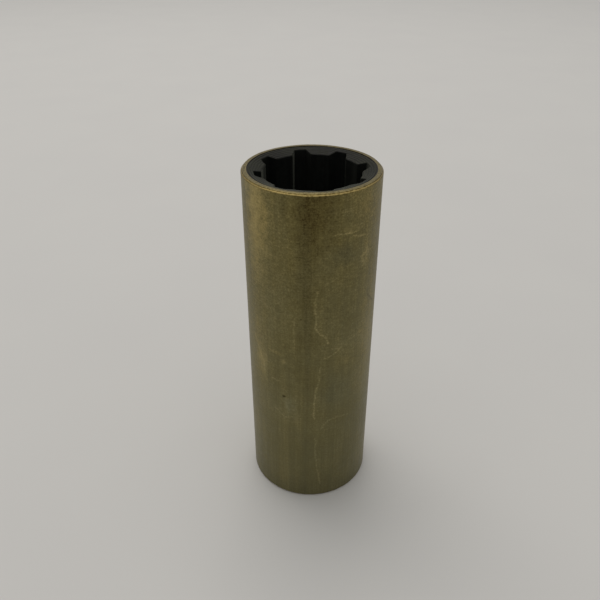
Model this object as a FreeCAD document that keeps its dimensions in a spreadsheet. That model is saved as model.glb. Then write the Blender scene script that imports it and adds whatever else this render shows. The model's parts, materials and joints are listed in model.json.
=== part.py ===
import FreeCAD, Part
import math
import os
import Sketcher

# Water-lubricated propeller-shaft bearing: a drawn brass tube carrying a bonded, one-piece
# rubber lining with eight lengthwise water grooves. The axis is +Z and the lower end sits on Z = 0.
# One groove lies on +X. All sizes are millimetres.

doc = FreeCAD.newDocument("fluted_sleeve_bearing")

DIMENSIONS = [
    ("total_length", 140.0),    # overall length of the shell
    ("shell_od", 50.0),         # outside of the brass tube, the fit in its housing
    ("shell_bore", 45.4),       # inside of the brass tube
    ("outer_break", 0.75),      # bevel turned on the outer corners of the tube
    ("inner_break", 0.25),      # deburred inner corners of the tube
    ("film_thickness", 0.12),   # cured rubber-to-metal adhesive
    ("lip_recess", 0.15),       # rubber stands this far below the brass at each end
    ("running_bore", 35.5),     # ground strip down the middle of each land, for a 35 mm shaft
    ("across_lands", 35.16),    # between the flat faces of opposite lands, before grinding
    ("dish_depth", 1.55),       # end face of the rubber falls this far between shell and bore
    ("root_dia", 41.3),         # diameter over the floors of the water grooves
    ("root_width", 4.4),        # width of a groove at its floor
    ("mouth_width", 7.0),       # width of a groove where it opens into the bore
    ("core_inset", 1.0),        # how far the groove cutter reaches inside the lands
    ("groove_count", 8.0),      # water grooves, evenly spaced
    ("root_radius", 0.5),       # moulded radius in the groove's inner corners
    ("mouth_radius", 0.6),      # moulded radius on the edges of the lands
]

sheet = doc.addObject("Spreadsheet::Sheet", "Dims")
for row, (alias, size) in enumerate(DIMENSIONS, start=1):
    sheet.set(f"A{row}", alias)
    sheet.set(f"B{row}", str(size))
    sheet.setAlias(f"B{row}", alias)
doc.recompute()

ORIGIN_POINT = (-1, 1)
X_AXIS, Y_AXIS = -1, -2
START, END, CENTRE = 1, 2, 3
UPWARD = FreeCAD.Vector(0, 0, 1)


def vector(x, y):
    return FreeCAD.Vector(x, y, 0)


def new_body(name):
    body = doc.addObject("PartDesign::Body", name)
    body.Label = name
    body.Placement = FreeCAD.Placement()
    return body


def sketch_on(body, plane_role, name):
    sketch = body.newObject("Sketcher::SketchObject", name)
    plane = next(f for f in body.Origin.OriginFeatures if f.Role == plane_role)
    sketch.AttachmentSupport = [(plane, "")]
    sketch.MapMode = "FlatFace"
    return sketch


def constrain(sketch, kind, *args):
    return sketch.addConstraint(Sketcher.Constraint(kind, *args))


def drive(sketch, name, expression, kind, *args):
    """Add a dimension to a sketch, name it and bind it to the table of sizes."""
    index = constrain(sketch, kind, *args)
    sketch.renameConstraint(index, name)
    sketch.setExpression(f"Constraints.{name}", expression)


def pad_ring(body, name, outer, inner, length, start=None):
    """A plain tube standing on the base plane: two circles driven by expressions, then a pad."""
    sketch = sketch_on(body, "XY_Plane", f"{name}_section")
    for circle, (word, expression, guess) in enumerate(
        [("outside", outer, 25.0), ("inside", inner, 20.0)]
    ):
        sketch.addGeometry(Part.Circle(vector(0, 0), UPWARD, guess))
        constrain(sketch, "Coincident", circle, CENTRE, *ORIGIN_POINT)
        drive(sketch, word, expression, "Radius", circle, guess)
    if start:
        sketch.setExpression("AttachmentOffset.Base.z", start)
    pad = body.newObject("PartDesign::Pad", f"{name}_tube")
    pad.Profile = sketch
    pad.setExpression("Length", length)
    sketch.Visibility = False
    doc.recompute()
    return pad


def edges_where(shape, test):
    return [f"Edge{i}" for i, edge in enumerate(shape.Edges, start=1) if test(edge)]


def rim_at(radius):
    """Test for a full circular rim of this radius."""
    def test(edge):
        return isinstance(edge.Curve, Part.Circle) and abs(edge.Curve.Radius - radius) < 1e-6
    return test


def upright_between(low, high):
    """Test for a straight lengthwise edge whose distance from the axis is between two radii."""
    def test(edge):
        a, b = edge.Vertexes[0].Point, edge.Vertexes[-1].Point
        upright = abs(a.z - b.z) > 1 and math.hypot(a.x - b.x, a.y - b.y) < 1e-6
        return upright and low < math.hypot(a.x, a.y) < high
    return test


def dress(body, kind, name, base, test, size, how_many):
    """Chamfer or fillet the edges of a feature that pass a test, sized by an expression."""
    names = edges_where(base.Shape, test)
    if len(names) != how_many:
        raise RuntimeError(f"{name}: {len(names)} edges found, {how_many} wanted")
    feature = body.newObject(f"PartDesign::{kind}", name)
    feature.Base = (base, names)
    feature.setExpression("Size" if kind == "Chamfer" else "Radius", size)
    body.Tip = feature
    doc.recompute()
    if not feature.Shape.isValid() or abs(feature.Shape.Volume - base.Shape.Volume) < 1e-3:
        raise RuntimeError(f"{name} changed nothing")
    return feature


# --- Brass shell: drawn tube, faced square, with both corners of each end broken -------------
shell = new_body("brass_shell")
tube = pad_ring(shell, "shell", "Dims.shell_od / 2", "Dims.shell_bore / 2", "Dims.total_length")
outer_bevel = dress(
    shell, "Chamfer", "shell_outer_break", tube, rim_at(sheet.shell_od / 2), "Dims.outer_break", 2
)
dress(
    shell, "Chamfer", "shell_inner_break", outer_bevel, rim_at(sheet.shell_bore / 2),
    "Dims.inner_break", 2,
)

# --- Bond coat: the film of adhesive between tube and rubber, flush with the rubber's edge ---
coat = new_body("bond_coat")
pad_ring(
    coat, "coat", "Dims.shell_bore / 2", "Dims.shell_bore / 2 - Dims.film_thickness",
    "Dims.total_length - 2 * Dims.lip_recess", start="Dims.lip_recess",
)

# --- Rubber lining: a ring with dished ends and flat lands, grooved eight times and radiused --
# Grinding the bore to size leaves a narrow concave strip, round about the axis, on each flat.
liner = new_body("rubber_liner")
LINER_RADIUS = "(Dims.shell_bore / 2 - Dims.film_thickness)"
section = sketch_on(liner, "XZ_Plane", "liner_section")
corners = [vector(17, 3), vector(22, 1), vector(22, 139), vector(17, 137)]
for a, b in zip(corners, corners[1:] + corners[:1]):
    section.addGeometry(Part.LineSegment(a, b))
BOTTOM, OUTSIDE, TOP, BORE = range(4)
for line in range(4):
    constrain(section, "Coincident", line, END, (line + 1) % 4, START)
constrain(section, "Vertical", OUTSIDE)
constrain(section, "Vertical", BORE)
drive(section, "bore_radius", "Dims.running_bore / 2", "DistanceX",
      *ORIGIN_POINT, BOTTOM, START, 17)
drive(section, "outer_radius", LINER_RADIUS, "DistanceX", *ORIGIN_POINT, BOTTOM, END, 22)
drive(section, "recess", "Dims.lip_recess", "DistanceY", *ORIGIN_POINT, BOTTOM, END, 1)
drive(section, "dish", "Dims.dish_depth", "DistanceY", BOTTOM, END, BOTTOM, START, 2)
drive(section, "edge_length", "Dims.total_length - 2 * Dims.lip_recess", "DistanceY",
      OUTSIDE, START, OUTSIDE, END, 138)
drive(section, "dish_above", "Dims.dish_depth", "DistanceY", TOP, END, TOP, START, 2)
ring = liner.newObject("PartDesign::Revolution", "liner_ring")
ring.Profile = section
ring.ReferenceAxis = (section, ["V_Axis"])
ring.Angle = 360
section.Visibility = False
doc.recompute()

# The lands are flats: a regular polygon cut through the ring, with its corners in the grooves.
sides = int(sheet.groove_count)
flats_section = sketch_on(liner, "XY_Plane", "flats_section")
guess_corner = 19.0
ring_of_corners = [
    vector(guess_corner * math.cos(math.tau * i / sides), guess_corner * math.sin(math.tau * i / sides))
    for i in range(sides)
]
for a, b in zip(ring_of_corners, ring_of_corners[1:] + ring_of_corners[:1]):
    flats_section.addGeometry(Part.LineSegment(a, b))
flats_section.addGeometry(Part.Circle(vector(0, 0), UPWARD, guess_corner), True)
for side in range(sides):
    constrain(flats_section, "Coincident", side, END, (side + 1) % sides, START)
    constrain(flats_section, "PointOnObject", side, START, sides)
    if side:
        constrain(flats_section, "Equal", 0, side)
constrain(flats_section, "Coincident", sides, CENTRE, *ORIGIN_POINT)
constrain(flats_section, "PointOnObject", 0, START, X_AXIS)
drive(flats_section, "corner_radius",
      "Dims.across_lands / 2 / cos(180 deg / Dims.groove_count)", "Radius", sides, guess_corner)
flats = liner.newObject("PartDesign::Pocket", "land_flats")
flats.Profile = flats_section
flats.Type = "ThroughAll"
flats.Reversed = True
flats_section.Visibility = False
doc.recompute()
if flats.Shape.Volume > 0.9999 * ring.Shape.Volume:
    raise RuntimeError("the flats of the lands cut nothing")

groove_section = sketch_on(liner, "XY_Plane", "groove_section")
guess_root, guess_half, guess_inset = 21.0, 2.0, 3.8
guess_back = 16.6
guess_reach = math.sqrt(guess_root**2 - guess_half**2)
groove_section.addGeometry(
    Part.LineSegment(vector(guess_back, guess_inset), vector(guess_reach, guess_half))
)
groove_section.addGeometry(
    Part.ArcOfCircle(
        Part.Circle(vector(0, 0), UPWARD, guess_root),
        -math.asin(guess_half / guess_root),
        math.asin(guess_half / guess_root),
    )
)
groove_section.addGeometry(
    Part.LineSegment(vector(guess_reach, -guess_half), vector(guess_back, -guess_inset))
)
groove_section.addGeometry(
    Part.LineSegment(vector(guess_back, -guess_inset), vector(guess_back, guess_inset))
)
UPPER_FLANK, FLOOR, LOWER_FLANK, BACK = range(4)
constrain(groove_section, "Coincident", UPPER_FLANK, END, FLOOR, END)
constrain(groove_section, "Coincident", FLOOR, START, LOWER_FLANK, START)
constrain(groove_section, "Coincident", LOWER_FLANK, END, BACK, START)
constrain(groove_section, "Coincident", BACK, END, UPPER_FLANK, START)
constrain(groove_section, "Coincident", FLOOR, CENTRE, *ORIGIN_POINT)
constrain(groove_section, "Symmetric", FLOOR, START, FLOOR, END, X_AXIS)
constrain(groove_section, "Symmetric", BACK, START, BACK, END, X_AXIS)
drive(groove_section, "floor_radius", "Dims.root_dia / 2", "Radius", FLOOR, guess_root)
drive(groove_section, "floor_width", "Dims.root_width", "DistanceY",
      FLOOR, START, FLOOR, END, 2 * guess_half)
drive(groove_section, "cutter_reach", "Dims.across_lands / 2 - Dims.core_inset", "DistanceX",
      *ORIGIN_POINT, BACK, START, guess_back)
drive(groove_section, "cutter_width",
      "Dims.mouth_width + (Dims.mouth_width - Dims.root_width) * Dims.core_inset"
      " / (Dims.root_dia / 2 - Dims.across_lands / 2)",
      "DistanceY", BACK, START, BACK, END, 2 * guess_inset)
groove = liner.newObject("PartDesign::Pocket", "water_groove")
groove.Profile = groove_section
groove.Type = "ThroughAll"
groove.Reversed = True
groove_section.Visibility = False
doc.recompute()
if groove.Shape.Volume > 0.999 * flats.Shape.Volume:
    raise RuntimeError("the first water groove cut nothing")

grooves = liner.newObject("PartDesign::PolarPattern", "water_grooves")
grooves.Originals = [groove]
grooves.Axis = (groove_section, ["N_Axis"])
grooves.Angle = 360
grooves.setExpression("Occurrences", "Dims.groove_count")
liner.Tip = grooves
doc.recompute()
one_cut = flats.Shape.Volume - groove.Shape.Volume
all_cuts = flats.Shape.Volume - grooves.Shape.Volume
if abs(all_cuts - sheet.groove_count * one_cut) > 0.01 * all_cuts:
    raise RuntimeError("the pattern did not cut every water groove")

floor_radius, strip_radius = sheet.root_dia / 2, sheet.running_bore / 2
rooted = dress(
    liner, "Fillet", "groove_root_radii", grooves,
    upright_between(floor_radius - 0.01, floor_radius + 0.01), "Dims.root_radius", 2 * sides,
)
dress(
    liner, "Fillet", "land_edge_radii", rooted,
    upright_between(strip_radius + 0.05, (strip_radius + floor_radius) / 2),
    "Dims.mouth_radius", 2 * sides,
)
doc.recompute()

# --- Check every object, then write one file for each piece ----------------------------------
for item in doc.Objects:
    if "Invalid" in item.State or "Error" in item.State:
        raise RuntimeError(f"{item.Name} is {item.State}")

os.makedirs("parts", exist_ok=True)
for body in (shell, coat, liner):
    shape = body.Shape
    if shape.isNull() or not shape.isValid() or len(shape.Solids) != 1:
        raise RuntimeError(f"{body.Label} has a bad shape")
    shape.exportStep(f"parts/{body.Label}.step")
    box = shape.BoundBox
    print(f"{body.Label}: {shape.Volume:.1f} mm3, Z {box.ZMin:.3f} to {box.ZMax:.3f}, "
          f"width {box.XLength:.3f}")
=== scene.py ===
import json
import math

import bpy
from mathutils import Matrix, Vector


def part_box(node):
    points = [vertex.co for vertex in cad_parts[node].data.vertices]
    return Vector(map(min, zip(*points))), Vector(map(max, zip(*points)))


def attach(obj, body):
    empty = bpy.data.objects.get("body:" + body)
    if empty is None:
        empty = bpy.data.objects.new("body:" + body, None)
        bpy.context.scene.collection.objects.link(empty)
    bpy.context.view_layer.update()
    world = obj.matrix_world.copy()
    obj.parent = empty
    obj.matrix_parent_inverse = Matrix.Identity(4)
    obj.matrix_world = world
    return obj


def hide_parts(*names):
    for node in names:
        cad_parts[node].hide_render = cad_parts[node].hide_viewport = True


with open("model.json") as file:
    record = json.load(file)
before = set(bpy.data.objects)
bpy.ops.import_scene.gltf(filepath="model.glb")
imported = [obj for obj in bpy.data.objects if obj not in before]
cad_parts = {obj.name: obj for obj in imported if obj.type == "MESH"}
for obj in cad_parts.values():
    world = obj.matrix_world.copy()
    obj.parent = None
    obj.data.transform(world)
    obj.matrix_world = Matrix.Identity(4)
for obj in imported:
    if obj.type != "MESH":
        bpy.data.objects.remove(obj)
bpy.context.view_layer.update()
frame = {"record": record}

# A rubber-lined brass propeller-shaft bearing, standing on end. Metres throughout; MM turns
# a size in millimetres into metres. The axis is +Z and one water groove lies on +X.
MM = 0.001
MOUNTS = {mount["name"]: mount for mount in frame["record"]["mounts"]}

SHELL_RADIUS = MOUNTS["housing_seat"]["dims"]["r_mm"] * MM
STRIP_RADIUS = MOUNTS["shaft_bore"]["dims"]["r_mm"] * MM
SHELL_BORE_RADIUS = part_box("bond_coat")[1].x
LINER_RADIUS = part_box("rubber_liner")[1].x
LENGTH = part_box("brass_shell")[1].z
LIP_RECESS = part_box("rubber_liner")[0].z

GROOVES = 8
SECTOR = math.tau / GROOVES
LAND_TO_AXIS = 17.58 * MM      # flat face of a land, before its middle was ground to size
FLOOR_RADIUS = 20.65 * MM
FLOOR_HALF = 2.2 * MM          # half the width of a groove's floor
MOUTH_HALF = 3.5 * MM          # half its width where it opens into the bore
DISH_DEPTH = 1.55 * MM         # fall of an end face from the liner's rim to the bore
DISH_SLOPE = DISH_DEPTH / (LINER_RADIUS - STRIP_RADIUS)
FLOOR_CORNER_ROUND = 0.5 * MM
MOUTH_CORNER_ROUND = 0.6 * MM
BORE_EDGE_ROUND = 0.25 * MM
RIM_ROUND = 0.3 * MM           # rounding of the liner's outer rim
RIM_DROP = 0.7                 # how deep that rounding is, as a share of its width

TOP_BEVEL, FOOT_BEVEL, INNER_BEVEL = 0.72 * MM, 0.70 * MM, 0.25 * MM
BEVEL_ROUND = 0.12 * MM
FILM_DROP, FILM_WAVE = 0.14 * MM, 0.05 * MM    # how far below the rubber's top, and how uneven

ROUND_COLUMNS = 288            # columns of points round a turned piece
STRIP_STEPS = 6                # spans across half a ground strip
FLOOR_ANGLES = (0.0, 0.02, 0.04)    # radians from mid groove
FLAT_BESIDE = 0.15 * MM        # how far past a rounded corner the next point sits
WELD = 0.01 * MM

RING_FACTOR = 0.314            # a wave texture's rings are this, over its scale, apart

# The side of the bearing that faces the viewer. Marks and lights are placed from it.
FRONT = math.radians(-102.7)


def srgb(code):
    """Linear RGBA from an sRGB hex colour."""
    channels = [int(code[i:i + 2], 16) / 255 for i in (1, 3, 5)]
    linear = [c / 12.92 if c <= 0.04045 else ((c + 0.055) / 1.055) ** 2.4 for c in channels]
    return (*linear, 1.0)


# ---------------------------------------------------------------------------------- meshes

def closed_grid(name, columns, wrap):
    """A mesh from columns of points, each closed on itself. wrap joins the last to the first."""
    rows = len(columns[0])
    points = [p for column in columns for p in column]
    spans = len(columns) if wrap else len(columns) - 1
    faces = []
    for i in range(spans):
        a, b = i * rows, (i + 1) % len(columns) * rows
        faces += [(a + j, b + j, b + (j + 1) % rows, a + (j + 1) % rows) for j in range(rows)]
    mesh = bpy.data.meshes.new(name)
    mesh.from_pydata(points, [], faces)
    mesh.shade_smooth()
    return mesh


def show(name, mesh, material, node):
    """Put a finished mesh in the scene, riding on the bearing in place of its CAD node."""
    piece = bpy.data.objects.new(name, mesh)
    bpy.context.scene.collection.objects.link(piece)
    mesh.materials.clear()
    mesh.materials.append(material)
    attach(piece, "root")
    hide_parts(node)


def fillet(before, corner, after, radius, steps=4):
    """Points that round off a corner. One more on each side keeps the faces beside it flat."""
    back, ahead = (before - corner).normalized(), (after - corner).normalized()
    half = back.angle(ahead) / 2
    reach = radius / math.tan(half)
    centre = corner + (back + ahead).normalized() * radius / math.sin(half)
    first, last = corner + back * reach - centre, corner + ahead * reach - centre
    turn = first.angle_signed(last)
    arc = [centre + Matrix.Rotation(-turn * i / steps, 2) @ first for i in range(steps + 1)]
    beside = min(FLAT_BESIDE, radius)
    return [corner + back * (reach + beside)] + arc + [corner + ahead * (reach + beside)]


def turned(name, section_at):
    """A round piece. section_at(angle) gives its section: up the outside and down the inside."""
    grid = []
    for i in range(ROUND_COLUMNS):
        angle = math.tau * (i + 0.5) / ROUND_COLUMNS
        grid.append([
            (r * math.cos(angle), r * math.sin(angle), z) for r, z in section_at(angle)
        ])
    return closed_grid(name, grid, wrap=True)


def shell_section(angle):
    """Section of the brass tube. The bevels turned on its outer corners are a little uneven."""
    uneven = MM * sum(
        height * math.sin(waves * angle + start)
        for waves, height, start in ((3, 1.0, 0.8), (7, 0.6, 2.0), (16, 0.4, 0.0))
    )
    top, foot, inner = TOP_BEVEL + 0.05 * uneven, FOOT_BEVEL - 0.04 * uneven, INNER_BEVEL
    outside, inside = SHELL_RADIUS, SHELL_BORE_RADIUS
    corners = [Vector(place) for place in (
        (outside - foot, 0), (outside, foot), (outside, LENGTH - top), (outside - top, LENGTH),
        (inside + inner, LENGTH), (inside, LENGTH - inner), (inside, inner), (inside + inner, 0),
    )]
    section = []
    for before, corner, after in zip(corners[-1:] + corners, corners, corners[1:] + corners[:1]):
        section += fillet(before, corner, after, BEVEL_ROUND, steps=3)
    return section


def film_section(angle):
    """Section of the adhesive film. Its uneven edge shows beside the rubber's rounded rim."""
    low = LIP_RECESS + FILM_DROP + FILM_WAVE * math.sin(5 * angle)
    return [
        (SHELL_BORE_RADIUS, low), (SHELL_BORE_RADIUS, LENGTH - low),
        (LINER_RADIUS, LENGTH - low), (LINER_RADIUS, low),
    ]


def bore_outline():
    """One sector of the lining's inner outline, from mid groove to mid groove."""
    floor_corner = Vector((math.sqrt(FLOOR_RADIUS**2 - FLOOR_HALF**2), FLOOR_HALF))
    flank = (Vector((LAND_TO_AXIS, MOUTH_HALF)) - floor_corner).normalized()
    facing = Vector((math.cos(SECTOR / 2), math.sin(SECTOR / 2)))
    mouth = floor_corner + flank * (LAND_TO_AXIS - floor_corner.dot(facing)) / flank.dot(facing)
    strip_half = math.acos(LAND_TO_AXIS / STRIP_RADIUS)
    strip = [
        STRIP_RADIUS * Vector((math.cos(a), math.sin(a)))
        for a in (
            SECTOR / 2 - strip_half * (1 - i / STRIP_STEPS) for i in range(STRIP_STEPS + 1)
        )
    ]
    floor = [FLOOR_RADIUS * Vector((math.cos(a), math.sin(a))) for a in FLOOR_ANGLES]
    half = (
        floor
        + fillet(floor[-1], floor_corner, mouth, FLOOR_CORNER_ROUND)
        + fillet(floor_corner, mouth, strip[0], MOUTH_CORNER_ROUND)
        + strip
    )
    across = Vector((-facing.y, facing.x))
    mirrored = [p - 2 * p.dot(across) * across for p in reversed(half[:-1])]
    return half + mirrored


def lining_sector():
    """Mesh of one sector of the lining: outer wall, dished end faces and the fluted bore wall."""
    outline = bore_outline()
    one_on = Matrix.Rotation(SECTOR, 2)
    around = [one_on.inverted() @ outline[-2]] + outline + [one_on @ outline[1]]
    # The end face runs from the rim inwards: the rim's rounding in shares of its width, the flat
    # face in shares of its own width, the bore's edge in shares of its rounding, in and down.
    rim_shares, flat_shares = (0.0, 0.3, 0.65, 1.0, 1.5), (0.35, 0.7, 1.0)
    edge_shares = ((1.0, 0.0), (0.62, 0.07), (0.29, 0.29), (0.07, 0.62), (0.0, 1.0))
    beside = 1.6               # one more point each side of the edge keeps its neighbours flat
    columns = []
    for before, point, after in zip(around, outline, around[2:]):
        along = (after - before).normalized()
        outward = Vector((along.y, -along.x))
        end_face = []
        for inset in rim_shares:
            spot = point.normalized() * (LINER_RADIUS - RIM_ROUND * inset)
            end_face.append((spot, RIM_ROUND * RIM_DROP * max(0.0, 1 - inset) ** 2))
        flat_end = point + outward * BORE_EDGE_ROUND * beside
        end_face += [(spot.lerp(flat_end, share), 0.0) for share in flat_shares]
        for inset, sunk in edge_shares + ((0.0, beside),):
            end_face.append((point + outward * BORE_EDGE_ROUND * inset, sunk * BORE_EDGE_ROUND))
        upper = []
        for spot, sunk in end_face:
            dish = (LINER_RADIUS - max(spot.length, point.length)) * DISH_SLOPE
            depth = LIP_RECESS + dish + sunk
            upper.append((spot.x, spot.y, LENGTH - depth))
        lower = [(x, y, LENGTH - z) for x, y, z in reversed(upper)]
        columns.append(upper + lower)
    return closed_grid("lining_sector", columns, wrap=False)


def repeat_round_tree():
    """Geometry Nodes: turns copies of one sector about the axis and welds them into a ring."""
    tree = bpy.data.node_groups.new("repeat_round", "GeometryNodeTree")
    for label, way, form in (
        ("Sector", "INPUT", "Geometry"), ("Count", "INPUT", "Int"), ("Weld", "INPUT", "Float"),
        ("Material", "INPUT", "Material"), ("Ring", "OUTPUT", "Geometry"),
    ):
        tree.interface.new_socket(label, in_out=way, socket_type=f"NodeSocket{form}")
    given = add(tree, "NodeGroupInput")
    seats = add(tree, "GeometryNodePoints", {}, {"Count": given.outputs["Count"]})
    index = add(tree, "GeometryNodeInputIndex")
    step = add(tree, "ShaderNodeMath", {"operation": "DIVIDE"},
               {0: math.tau, 1: given.outputs["Count"]})
    turn = add(tree, "ShaderNodeMath", {"operation": "MULTIPLY"},
               {0: index.outputs[0], 1: step.outputs[0]})
    turns = add(tree, "ShaderNodeCombineXYZ", {}, {"Z": turn.outputs[0]})
    copies = add(tree, "GeometryNodeInstanceOnPoints", {}, {
        "Points": seats.outputs[0], "Instance": given.outputs["Sector"],
        "Rotation": turns.outputs[0],
    })
    real = add(tree, "GeometryNodeRealizeInstances", {}, {"Geometry": copies.outputs[0]})
    welded = add(tree, "GeometryNodeMergeByDistance", {}, {
        "Geometry": real.outputs[0], "Distance": given.outputs["Weld"],
    })
    smooth = add(tree, "GeometryNodeSetShadeSmooth", {}, {"Geometry": welded.outputs[0]})
    finished = add(tree, "GeometryNodeSetMaterial", {}, {
        "Geometry": smooth.outputs[0], "Material": given.outputs["Material"],
    })
    add(tree, "NodeGroupOutput", {}, {"Ring": finished.outputs[0]})
    return tree


def repeated_round(sector, count, material):
    """The plain mesh that the tree makes of one sector."""
    tree = repeat_round_tree()
    seed = bpy.data.objects.new(sector.name, sector)
    bpy.context.scene.collection.objects.link(seed)
    modifier = seed.modifiers.new("repeat", "NODES")
    modifier.node_group = tree
    sizes = {"Count": count, "Weld": WELD, "Material": material}
    for item in tree.interface.items_tree:
        if item.in_out == "INPUT" and item.name in sizes:
            modifier[item.identifier] = sizes[item.name]
    made = seed.evaluated_get(bpy.context.evaluated_depsgraph_get())
    mesh = bpy.data.meshes.new_from_object(made)
    seed.modifiers.remove(modifier)
    bpy.data.objects.remove(seed)
    return mesh


# ------------------------------------------------------------------------------- materials

def add(tree, kind, settings=None, inputs=None):
    """Add a node, set its settings, and give each input a value or a link."""
    made = tree.nodes.new(kind)
    for key, value in (settings or {}).items():
        setattr(made, key, value)
    for key, value in (inputs or {}).items():
        if isinstance(value, bpy.types.NodeSocket):
            tree.links.new(value, made.inputs[key])
        else:
            made.inputs[key].default_value = value
    return made


def new_material(name):
    """An empty material: its tree, and its Principled shader joined to the output."""
    material = bpy.data.materials.new(name)
    material.use_nodes = True
    tree = material.node_tree
    tree.nodes.clear()
    shader = add(tree, "ShaderNodeBsdfPrincipled")
    add(tree, "ShaderNodeOutputMaterial", {}, {"Surface": shader.outputs[0]})
    return material, tree, shader


def mark_group(name, kind):
    """A soft mark on the shell's unrolled face, in mm: a round spot or a straight stroke."""
    tree = bpy.data.node_groups.new(name, "ShaderNodeTree")
    second = "Reach" if kind == "spot" else "To"
    for label, form in (
        ("Face", "Vector"), ("From", "Vector"), (second, "Vector"), ("Width", "Float"),
    ):
        tree.interface.new_socket(label, in_out="INPUT", socket_type=f"NodeSocket{form}")
    tree.interface.new_socket("Mark", in_out="OUTPUT", socket_type="NodeSocketFloat")
    given = add(tree, "NodeGroupInput").outputs
    away = add(tree, "ShaderNodeVectorMath", {"operation": "SUBTRACT"},
               {0: given["Face"], 1: given["From"]}).outputs[0]
    if kind == "spot":
        away = add(tree, "ShaderNodeVectorMath", {"operation": "DIVIDE"},
                   {0: away, 1: given["Reach"]}).outputs[0]
    else:
        line = add(tree, "ShaderNodeVectorMath", {"operation": "SUBTRACT"},
                   {0: given["To"], 1: given["From"]}).outputs[0]
        along, whole = (
            add(tree, "ShaderNodeVectorMath", {"operation": "DOT_PRODUCT"}, {0: first, 1: line})
            for first in (away, line)
        )
        share = add(tree, "ShaderNodeMath", {"operation": "DIVIDE", "use_clamp": True},
                    {0: along.outputs["Value"], 1: whole.outputs["Value"]}).outputs[0]
        foot = add(tree, "ShaderNodeVectorMath", {"operation": "SCALE"},
                   {0: line, "Scale": share}).outputs[0]
        away = add(tree, "ShaderNodeVectorMath", {"operation": "SUBTRACT"},
                   {0: away, 1: foot}).outputs[0]
    distance = add(tree, "ShaderNodeVectorMath", {"operation": "LENGTH"},
                   {0: away}).outputs["Value"]
    mark = add(tree, "ShaderNodeMapRange", {"interpolation_type": "SMOOTHSTEP"}, {
        "Value": distance, "From Min": 0.0, "From Max": given["Width"],
        "To Min": 1.0, "To Max": 0.0,
    })
    add(tree, "NodeGroupOutput", {}, {"Mark": mark.outputs[0]})
    return tree


def on_face(degrees, height):
    """A place on the shell's unrolled face in mm: degrees right of the front, and height."""
    return (SHELL_RADIUS / MM * math.radians(degrees), height, 0.0)


# The brass shader is near the size that the renderer can hold. Three more short lines fit, and
# with seven the shell is drawn black though the render ends OK. Look at it after adding any.

# Tarnish on the shell, with painted reflection in the spots marked below: (degrees from the front,
# height in mm), (reach in degrees, in mm), tone, warmth. A negative tone is darker, a negative
# warmth greyer. The far side's come last.
SPOTS = [
    ((2, 142), (34, 34), -0.19, 0.25),
    # a dark band down the front: partly tarnish, partly a painted reflection of the shaded floor in
    # front
    ((-3, 105), (16, 80), -0.11, 0.0),
    ((-50, 130), (20, 36), 0.28, 0.3),
    # these two lighten the left and right sides: painted reflection of the room's light at a slant
    ((-52, 70), (24, 46), 0.05, 0.15),
    ((66, 80), (24, 44), 0.08, 0.1),
    ((30, 92), (24, 26), -0.04, -0.15),
    ((-33, 96), (17, 22), 0.03, -0.15),
    ((28, 118), (15, 8), -0.13, -0.3),
    ((44, 136), (16, 12), 0.07, 0.2),
    ((49, 114), (8, 7), 0.12, 0.0),
    ((26, 58), (22, 16), -0.02, -0.3),
    ((-31, 75), (11, 1.4), 0.10, 0.2),
    ((-24, 71.5), (5, 1.6), 0.10, 0.1),
    ((-48, 67), (9, 11), 0.07, 0.1),
    ((-19, 52), (9, 7), 0.05, -0.3),
    ((-24, 54.8), (2.4, 0.8), -0.42, 0.0),
    ((-8, 92), (1.0, 0.5), -0.28, 0.0),
    ((112, 108), (24, 30), 0.12, 0.3),
    ((150, 40), (20, 34), -0.09, -0.2),
    ((-115, 60), (26, 38), 0.07, -0.2),
    ((-150, 126), (22, 18), -0.14, 0.3),
    ((176, 84), (9, 60), -0.07, 0.1),
    ((98, 47), (3.0, 1.0), -0.35, 0.0),
    ((-131, 96), (1.8, 1.1), -0.35, 0.0),
]

SMALL_SPOT = 3       # a spot that reaches no further than this one way keeps its shape

# Dried-water lines and light scratches: the route, width in mm, tone. The far side's come last.
STROKES = [
    ([(4.6, 104), (3.6, 99), (4.2, 94), (5.0, 89), (7.8, 85.2), (12, 84.8), (15, 81.6)], 0.7, 0.16),
    ([(8.8, 71), (8.2, 66), (5.4, 59), (3.6, 52), (4.2, 45)], 0.65, 0.15),
    ([(5.6, 34), (6.0, 22), (8.4, 13), (10.4, 7)], 0.6, 0.11),
    ([(9, 73.5), (16, 74.6), (22, 76), (26, 77.8), (18, 78.9)], 0.55, 0.11),
    ([(10, 38.6), (13, 41), (18, 42.8), (25, 43.8), (38, 43)], 0.7, 0.10),
    ([(13, 125.2), (37, 124.8)], 0.6, 0.20),
    ([(34, 123.4), (53, 121.8)], 0.5, 0.10),
    ([(11, 106.5), (22, 108.8), (34, 108.2)], 0.5, 0.10),
    ([(56, 96.5), (69, 91)], 0.7, -0.20),
    ([(-36, 61.6), (-28, 61.6)], 0.9, 0.14),
    ([(-33, 47), (-24, 43.8), (-15, 45)], 0.6, 0.09),
    ([(-14, 92), (-14.4, 71)], 0.5, 0.08),
    ([(-58, 78), (-47, 68), (-44, 63)], 0.8, 0.12),
    ([(84, 118), (97, 113), (104, 101), (103, 88)], 0.7, 0.13),
    ([(122, 66), (128, 61), (141, 60.5)], 0.6, 0.11),
    ([(-96, 112), (-93, 98), (-97, 85), (-94, 74)], 0.7, 0.13),
    ([(-142, 51), (-126, 47)], 0.6, 0.13),
    ([(-170, 22), (-158, 27), (-151, 38)], 0.6, 0.10),
]


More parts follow.
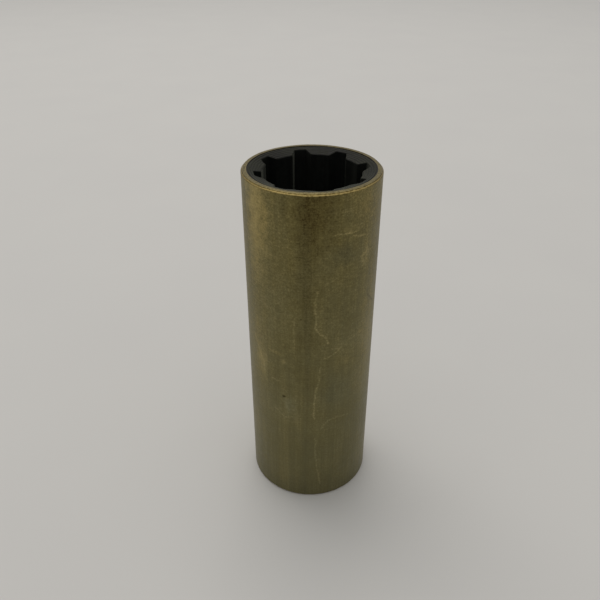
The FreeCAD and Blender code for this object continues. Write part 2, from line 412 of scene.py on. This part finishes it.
def drawn_brass():
    """Drawn brass tube, handled and tarnished olive brown. Drawing leaves fine lengthwise lines,
    tarnish lies in clouds and specks, and the turned ends are still yellow. A few spots are
    painted reflection, and the bevels' brightness is partly a painted highlight."""
    material, tree, shader = new_material("tarnished_drawn_brass")
    place = add(tree, "ShaderNodeTexCoord").outputs["Object"]
    turned_to_front = add(tree, "ShaderNodeMapping", {}, {
        "Vector": place, "Rotation": (0.0, 0.0, -FRONT),
    }).outputs[0]
    parts = add(tree, "ShaderNodeSeparateXYZ", {}, {0: turned_to_front}).outputs
    angle = add(tree, "ShaderNodeMath", {"operation": "ARCTAN2"}, {0: parts["Y"], 1: parts["X"]})
    arc = add(tree, "ShaderNodeMath", {"operation": "MULTIPLY"},
              {0: angle.outputs[0], 1: SHELL_RADIUS / MM}).outputs[0]
    height = add(tree, "ShaderNodeMath", {"operation": "MULTIPLY"},
                 {0: parts["Z"], 1: 1 / MM}).outputs[0]
    face = add(tree, "ShaderNodeCombineXYZ", {}, {"X": arc, "Y": height}).outputs[0]

    # one noise for each layer: detail, roughness, size in mm, squeeze along the tube
    layers = []
    for detail, roughness, feature, squeeze in (
        (3.0, 0.55, 24.0, 1.0),     # clouds of tarnish
        (2.0, 0.50, 11.0, 1.0),     # patches of warmer and greyer brown
        (4.0, 0.65, 1.9, 1.0),      # mottle
        (2.0, 0.70, 0.75, 1.0),     # speckle
        (2.0, 0.60, 0.4, 1.0),      # grain
        (3.0, 0.60, 0.7, 0.035),    # fine drawing lines
        (2.0, 0.50, 3.0, 0.03),     # broad drawing lines
        (2.0, 0.60, 5.0, 9.0),      # rubbing round the tube
        (3.0, 0.60, 5.0, 1.0),      # what makes the marks wander
    ):
        where = add(tree, "ShaderNodeMapping", {}, {"Vector": place, "Scale": (1.0, 1.0, squeeze)})
        layers.append(add(tree, "ShaderNodeTexNoise", {}, {
            "Vector": where.outputs[0], "Scale": 1 / (feature * MM), "Detail": detail,
            "Roughness": roughness,
        }))
    cloud, patch, mottle, speckle, grain, fine_lines, broad_lines, rubbed = (
        layer.outputs["Fac"] for layer in layers[:-1]
    )
    drift = add(tree, "ShaderNodeVectorMath", {"operation": "SUBTRACT"},
                {0: layers[-1].outputs["Color"], 1: (0.5, 0.5, 0.5)}).outputs[0]

    # marks wander a little, as dried water does, and broad stains have loose edges; both in mm
    wander, spread = (
        add(tree, "ShaderNodeVectorMath", {"operation": "MULTIPLY_ADD"},
            {0: drift, 1: (reach, reach, 0.0), 2: face}).outputs[0]
        for reach in (2.2, 12.0)
    )

    # handling has speckled the upper half more than the lower, and the top is warmer
    handled = add(tree, "ShaderNodeMapRange", {}, {
        "Value": height, "From Min": 20.0, "From Max": 135.0, "To Min": 0.8, "To Max": 2.3,
    }).outputs[0]
    tone = 0.5
    warmth = add(tree, "ShaderNodeMapRange", {}, {
        "Value": height, "From Min": 0.0, "From Max": 140.0, "To Min": 0.35, "To Max": 0.82,
    }).outputs[0]
    for layer, amount, stronger_up in (
        (cloud, 0.20, False), (mottle, 0.15, True), (speckle, 0.21, True), (grain, 0.14, True),
        (fine_lines, 0.15, False), (broad_lines, 0.13, False), (rubbed, 0.10, True),
    ):
        centred = add(tree, "ShaderNodeMath", {"operation": "SUBTRACT"}, {0: layer, 1: 0.5})
        if stronger_up:
            centred = add(tree, "ShaderNodeMath", {"operation": "MULTIPLY"},
                          {0: centred.outputs[0], 1: handled})
        tone = add(tree, "ShaderNodeMath", {"operation": "MULTIPLY_ADD"},
                   {0: centred.outputs[0], 1: amount, 2: tone}).outputs[0]
    for layer, amount in ((patch, 0.45), (mottle, 0.25), (broad_lines, 0.4)):
        centred = add(tree, "ShaderNodeMath", {"operation": "SUBTRACT"}, {0: layer, 1: 0.5})
        warmth = add(tree, "ShaderNodeMath", {"operation": "MULTIPLY_ADD"},
                     {0: centred.outputs[0], 1: amount, 2: warmth}).outputs[0]
    spot, stroke = mark_group("soft_spot", "spot"), mark_group("soft_stroke", "stroke")
    for (degrees, up), (reach_degrees, reach_up), darker, warmer in SPOTS:
        mark = add(tree, "ShaderNodeGroup", {"node_tree": spot}, {
            "Face": spread if min(reach_degrees, reach_up) > SMALL_SPOT else wander,
            "From": on_face(degrees, up), "Reach": on_face(reach_degrees, reach_up)[:2] + (1.0,),
            "Width": 1.0,
        }).outputs[0]
        tone = add(tree, "ShaderNodeMath", {"operation": "MULTIPLY_ADD"},
                   {0: mark, 1: darker, 2: tone}).outputs[0]
        if warmer:
            warmth = add(tree, "ShaderNodeMath", {"operation": "MULTIPLY_ADD"},
                         {0: mark, 1: warmer, 2: warmth}).outputs[0]
    # the lines break up where the surface is rough
    whole = add(tree, "ShaderNodeMapRange", {}, {
        "Value": speckle, "From Min": 0.38, "From Max": 0.58, "To Min": 0.35, "To Max": 1.0,
    }).outputs[0]
    for route, width, lighter in STROKES:
        line = 0.0
        for start, end in zip(route, route[1:]):
            mark = add(tree, "ShaderNodeGroup", {"node_tree": stroke}, {
                "Face": wander, "From": on_face(*start), "To": on_face(*end), "Width": width})
            line = add(tree, "ShaderNodeMath", {"operation": "MAXIMUM"},
                       {0: mark.outputs[0], 1: line}).outputs[0]
        line = add(tree, "ShaderNodeMath", {"operation": "MULTIPLY"},
                   {0: line, 1: whole}).outputs[0]
        tone = add(tree, "ShaderNodeMath", {"operation": "MULTIPLY_ADD"},
                   {0: line, 1: lighter, 2: tone}).outputs[0]

    # colour ramps for the tone, which holds tarnish and the painted reflection spots
    tarnish_and_painted_light = []
    for codes in (("#43412c", "#787558", "#aba785"), ("#463a1f", "#796f44", "#b2a16b")):
        ramp = add(tree, "ShaderNodeValToRGB", {}, {"Fac": tone})
        stops = ramp.color_ramp.elements
        stops.new(0.5)
        for stop, position, code in zip(stops, (0.15, 0.5, 0.85), codes):
            stop.position, stop.color = position, srgb(code)
        tarnish_and_painted_light.append(ramp.outputs[0])
    walled = add(tree, "ShaderNodeMix", {"data_type": "RGBA", "clamp_factor": True}, {
        "Factor": warmth, "A": tarnish_and_painted_light[0], "B": tarnish_and_painted_light[1]}).outputs["Result"]

    # the turned ends: a dull faced ring with tool marks, and a brighter bevel, worn at its edges
    # and lightened as a painted highlight; where each begins is in mm from the end
    half = LENGTH / MM / 2
    from_middle = add(tree, "ShaderNodeMath", {"operation": "SUBTRACT"}, {0: height, 1: half})
    to_end = add(tree, "ShaderNodeMath", {"operation": "ABSOLUTE"}, {0: from_middle.outputs[0]})
    ragged = add(tree, "ShaderNodeMath", {"operation": "MULTIPLY_ADD"},
                 {0: speckle, 1: 0.5, 2: to_end.outputs[0]}).outputs[0]
    turned_end = add(tree, "ShaderNodeMapRange", {"interpolation_type": "SMOOTHSTEP"}, {
        "Value": ragged, "From Min": half - 0.62, "From Max": half - 0.32}).outputs[0]
    bevel = add(tree, "ShaderNodeMapRange", {"interpolation_type": "SMOOTHSTEP"}, {
        "Value": to_end.outputs[0], "From Min": half - 0.22, "From Max": half - 0.02,
        "To Min": 1.0, "To Max": 0.0}).outputs[0]
    # tool marks are 0.2 mm apart on the real ring, and drawn 0.5 mm apart so that they show
    rings = add(tree, "ShaderNodeTexWave", {
        "wave_type": "RINGS", "rings_direction": "Z", "wave_profile": "SIN"}, {
        "Vector": place, "Scale": RING_FACTOR / (0.5 * MM), "Distortion": 0.8, "Detail": 3.0,
        "Detail Scale": 2.0}).outputs["Fac"]
    worn = add(tree, "ShaderNodeMath", {"operation": "MULTIPLY_ADD"},
               {0: rings, 1: 0.4, 2: speckle}).outputs[0]
    worn = add(tree, "ShaderNodeMapRange", {}, {
        "Value": worn, "From Min": 0.45, "From Max": 0.95}).outputs[0]
    faced = add(tree, "ShaderNodeMix", {"data_type": "RGBA"}, {
        "Factor": worn, "A": srgb("#4b432b"), "B": srgb("#968a5e")}).outputs["Result"]
    # the bevel's lighter colour is partly wear and partly a painted highlight of the overhead light
    bevel_wear_and_highlight = add(tree, "ShaderNodeMix", {"data_type": "RGBA"}, {
        "Factor": worn, "A": srgb("#63542f"), "B": srgb("#b8a46a")}).outputs["Result"]
    ends = add(tree, "ShaderNodeMix", {"data_type": "RGBA"}, {
        "Factor": bevel, "A": faced, "B": bevel_wear_and_highlight}).outputs["Result"]
    # adhesive has stained the inner corner beside the rubber, and the darkening also paints the
    # shade in the gap there
    flattened = add(tree, "ShaderNodeVectorMath", {"operation": "MULTIPLY"},
                    {0: place, 1: (1 / MM, 1 / MM, 0.0)}).outputs[0]
    across = add(tree, "ShaderNodeVectorMath", {"operation": "LENGTH"},
                 {0: flattened}).outputs["Value"]
    past_stain_and_painted_shade = add(tree, "ShaderNodeMapRange", {"interpolation_type": "SMOOTHSTEP"}, {
        "Value": across, "From Min": SHELL_BORE_RADIUS / MM + 0.12,
        "From Max": SHELL_BORE_RADIUS / MM + 0.5}).outputs[0]
    ends = add(tree, "ShaderNodeMix", {"data_type": "RGBA"}, {
        "Factor": past_stain_and_painted_shade, "A": srgb("#1f1b11"), "B": ends}).outputs["Result"]
    colour = add(tree, "ShaderNodeMix", {"data_type": "RGBA"}, {
        "Factor": turned_end, "A": walled, "B": ends})
    tree.links.new(colour.outputs["Result"], shader.inputs["Base Color"])

    rough = add(tree, "ShaderNodeMapRange", {}, {
        "Value": mottle, "From Min": 0.3, "From Max": 0.7, "To Min": 0.42, "To Max": 0.58})
    end_rough = add(tree, "ShaderNodeMix", {"data_type": "FLOAT"}, {
        "Factor": turned_end, "A": rough.outputs[0], "B": 0.38})
    tree.links.new(end_rough.outputs["Result"], shader.inputs["Roughness"])

    wall = add(tree, "ShaderNodeMath", {"operation": "ADD"}, {0: fine_lines, 1: speckle})
    relief = add(tree, "ShaderNodeMix", {"data_type": "FLOAT"}, {
        "Factor": turned_end, "A": wall.outputs[0], "B": worn})
    bump = add(tree, "ShaderNodeBump", {}, {
        "Strength": 0.6, "Distance": 0.04 * MM, "Height": relief.outputs["Result"]})
    tree.links.new(bump.outputs[0], shader.inputs["Normal"])
    shader.inputs["Metallic"].default_value = 1.0
    # a film of handling dust lightens the sides that are seen at a grazing angle
    shader.inputs["Sheen Weight"].default_value = 0.05
    shader.inputs["Sheen Roughness"].default_value = 0.4
    return material


def nitrile_rubber():
    """Moulded black nitrile rubber. The end faces are knife-trimmed and greyed by dust; the bore
    has faint lengthwise mould lines."""
    material, tree, shader = new_material("moulded_nitrile_rubber")
    place = add(tree, "ShaderNodeTexCoord").outputs["Object"]
    normal = add(tree, "ShaderNodeNewGeometry").outputs["Normal"]
    upward = add(tree, "ShaderNodeSeparateXYZ", {}, {0: normal}).outputs["Z"]
    facing = add(tree, "ShaderNodeMath", {"operation": "ABSOLUTE"}, {0: upward})
    end_face = add(tree, "ShaderNodeMapRange", {"interpolation_type": "SMOOTHSTEP"}, {
        "Value": facing.outputs[0], "From Min": 0.35, "From Max": 0.85}).outputs[0]

    # scales are in features to the mm
    dust = add(tree, "ShaderNodeTexNoise", {}, {
        "Vector": place, "Scale": 0.7 / MM, "Detail": 5.0, "Roughness": 0.7}).outputs[0]
    patches = add(tree, "ShaderNodeTexNoise", {}, {
        "Vector": place, "Scale": 0.09 / MM, "Detail": 3.0}).outputs[0]
    lengthwise = add(tree, "ShaderNodeMapping", {}, {
        "Vector": place, "Scale": (1.0, 1.0, 0.02)}).outputs[0]
    mould_lines = add(tree, "ShaderNodeTexNoise", {}, {
        "Vector": lengthwise, "Scale": 1.1 / MM, "Detail": 2.0}).outputs[0]
    # trimming marks of the knife are 0.3 mm apart, and drawn 0.9 mm apart so that they show
    knife = add(tree, "ShaderNodeTexWave", {
        "wave_type": "RINGS", "rings_direction": "Z", "wave_profile": "SIN"}, {
        "Vector": place, "Scale": RING_FACTOR / (0.9 * MM), "Distortion": 4.0, "Detail": 3.0,
        "Detail Scale": 1.2}).outputs["Fac"]

    trimmed = add(tree, "ShaderNodeMix", {"data_type": "FLOAT"}, {
        "Factor": end_face, "A": mould_lines, "B": knife}).outputs["Result"]
    greyed = add(tree, "ShaderNodeMath", {"operation": "ADD"}, {0: dust, 1: patches})
    shade = add(tree, "ShaderNodeMath", {"operation": "MULTIPLY_ADD"},
                {0: trimmed, 1: 0.5, 2: greyed.outputs[0]}).outputs[0]
    shade = add(tree, "ShaderNodeMapRange", {}, {
        "Value": shade, "From Min": 1.0, "From Max": 1.5}).outputs[0]
    trimmed_colour = add(tree, "ShaderNodeMix", {"data_type": "RGBA"}, {
        "Factor": shade, "A": srgb("#030302"), "B": srgb("#1f2115")}).outputs["Result"]
    # the bore's rubber colour is raised so that its lands show lit: painted light
    bore_colour_with_painted_light = add(tree, "ShaderNodeMix", {"data_type": "RGBA"}, {
        "Factor": shade, "A": srgb("#0b0d0b"), "B": srgb("#181a17")}).outputs["Result"]
    colour = add(tree, "ShaderNodeMix", {"data_type": "RGBA"}, {
        "Factor": end_face, "A": bore_colour_with_painted_light, "B": trimmed_colour})
    tree.links.new(colour.outputs["Result"], shader.inputs["Base Color"])
    rough = add(tree, "ShaderNodeMapRange", {}, {
        "Value": dust, "From Min": 0.3, "From Max": 0.7, "To Min": 0.45, "To Max": 0.62})
    tree.links.new(rough.outputs[0], shader.inputs["Roughness"])
    relief = add(tree, "ShaderNodeMath", {"operation": "MULTIPLY_ADD"},
                 {0: dust, 1: 0.6, 2: trimmed})
    bump = add(tree, "ShaderNodeBump", {}, {
        "Strength": 0.7, "Distance": 0.08 * MM, "Height": relief.outputs[0]})
    tree.links.new(bump.outputs[0], shader.inputs["Normal"])
    # a bloom of fine dust that shows at grazing angles
    shader.inputs["Sheen Weight"].default_value = 0.45
    shader.inputs["Sheen Roughness"].default_value = 0.3
    shader.inputs["Sheen Tint"].default_value = srgb("#c9cdbd")
    shader.inputs["Specular IOR Level"].default_value = 0.12
    shader.inputs["IOR"].default_value = 1.5
    return material


def cured_adhesive():
    """Rubber-to-metal adhesive, cured: a near-black film with a dull uneven edge."""
    material, tree, shader = new_material("cured_bonding_adhesive")
    place = add(tree, "ShaderNodeTexCoord").outputs["Object"]
    lumps = add(tree, "ShaderNodeTexNoise", {}, {
        "Vector": place, "Scale": 0.9 / MM, "Detail": 3.0}).outputs[0]
    colour = add(tree, "ShaderNodeMix", {"data_type": "RGBA"}, {
        "Factor": lumps, "A": srgb("#0c0c0b"), "B": srgb("#1d1a15")})
    tree.links.new(colour.outputs["Result"], shader.inputs["Base Color"])
    bump = add(tree, "ShaderNodeBump", {}, {
        "Strength": 0.4, "Distance": 0.03 * MM, "Height": lumps})
    tree.links.new(bump.outputs[0], shader.inputs["Normal"])
    shader.inputs["Roughness"].default_value = 0.6
    return material


def pale_board():
    """The pale matt board that the bearing stands on, with a very faint paper mottle."""
    material, tree, shader = new_material("pale_matt_board")
    place = add(tree, "ShaderNodeTexCoord").outputs["Object"]
    mottle = add(tree, "ShaderNodeTexNoise", {}, {
        "Vector": place, "Scale": 0.012 / MM, "Detail": 2.0}).outputs[0]
    colour = add(tree, "ShaderNodeMix", {"data_type": "RGBA"}, {
        "Factor": mottle, "A": srgb("#c9c9c8"), "B": srgb("#cdcdcb")})
    tree.links.new(colour.outputs["Result"], shader.inputs["Base Color"])
    shader.inputs["Roughness"].default_value = 0.75
    return material


# ------------------------------------------------------------------------------ the bearing

show("drawn_brass_shell", turned("drawn_brass_shell", shell_section),
     drawn_brass(), "brass_shell")
show("bonding_film", turned("bonding_film", film_section),
     cured_adhesive(), "bond_coat")
rubber = nitrile_rubber()
show("fluted_rubber_lining", repeated_round(lining_sector(), GROOVES, rubber),
     rubber, "rubber_liner")

# -------------------------------------------------------------------- floor, light, camera

# +X is to the viewer's right, and -Y towards them
VIEWER = Matrix.Rotation(FRONT + math.pi / 2, 4, "Z")
scene = bpy.context.scene

FLOOR_REACH = 4.0
floor_mesh = bpy.data.meshes.new("floor_board")
floor_mesh.from_pydata(
    [(x * FLOOR_REACH, y * FLOOR_REACH, 0) for x, y in ((-1, -1), (1, -1), (1, 1), (-1, 1))],
    [], [(0, 1, 2, 3)],
)
floor_mesh.materials.append(pale_board())
floor = bpy.data.objects.new("floor_board", floor_mesh)
scene.collection.objects.link(floor)

# one large soft panel under the ceiling, behind the bearing and a little to the left
PANEL_PLACE = Vector((-0.4, 1.0, 2.3))
panel = bpy.data.lights.new("ceiling_panel", "AREA")
panel.shape, panel.size, panel.size_y = "RECTANGLE", 1.9, 1.5
panel.energy = 22
panel.color = srgb("#fffaf4")[:3]
lamp = bpy.data.objects.new("ceiling_panel", panel)
scene.collection.objects.link(lamp)
aim = (-PANEL_PLACE).to_track_quat("-Z", "Y").to_matrix().to_4x4()
lamp.matrix_world = VIEWER @ Matrix.Translation(PANEL_PLACE) @ aim

# a pale room: bright overhead, greyer towards the walls
world = bpy.data.worlds.new("soft_room")
world.use_nodes = True
room = world.node_tree
room.nodes.clear()
upward = add(room, "ShaderNodeSeparateXYZ", {}, {
    0: add(room, "ShaderNodeTexCoord").outputs["Generated"]}).outputs["Z"]
overhead = add(room, "ShaderNodeMapRange", {"interpolation_type": "SMOOTHSTEP"}, {
    "Value": upward, "From Min": 0.0, "From Max": 0.9}).outputs[0]
glow = add(room, "ShaderNodeMix", {"data_type": "RGBA"}, {
    "Factor": overhead, "A": srgb("#9c9a96"), "B": srgb("#e6e4e1")}).outputs["Result"]
background = add(room, "ShaderNodeBackground", {}, {"Color": glow, "Strength": 0.83})
add(room, "ShaderNodeOutputWorld", {}, {"Surface": background.outputs[0]})
scene.world = world
scene.view_settings.view_transform = "Standard"

# the eye is above and in front, and looks down at the middle of the bearing
EYE = (0.0, -208.6 * MM, 216.5 * MM)
LEFT, DOWN, ROLL = (math.radians(degrees) for degrees in (1.175, 32.252, -0.092))
lens = bpy.data.cameras.new("camera")
lens.sensor_width = 36.0
lens.lens = 37.26
lens.clip_start = 0.01
camera = bpy.data.objects.new("camera", lens)
scene.collection.objects.link(camera)
camera.matrix_world = (
    VIEWER
    @ Matrix.Translation(EYE)
    @ Matrix.Rotation(LEFT, 4, "Z")
    @ Matrix.Rotation(math.pi / 2 - DOWN, 4, "X")
    @ Matrix.Rotation(ROLL, 4, "Z")
)
scene.camera = camera
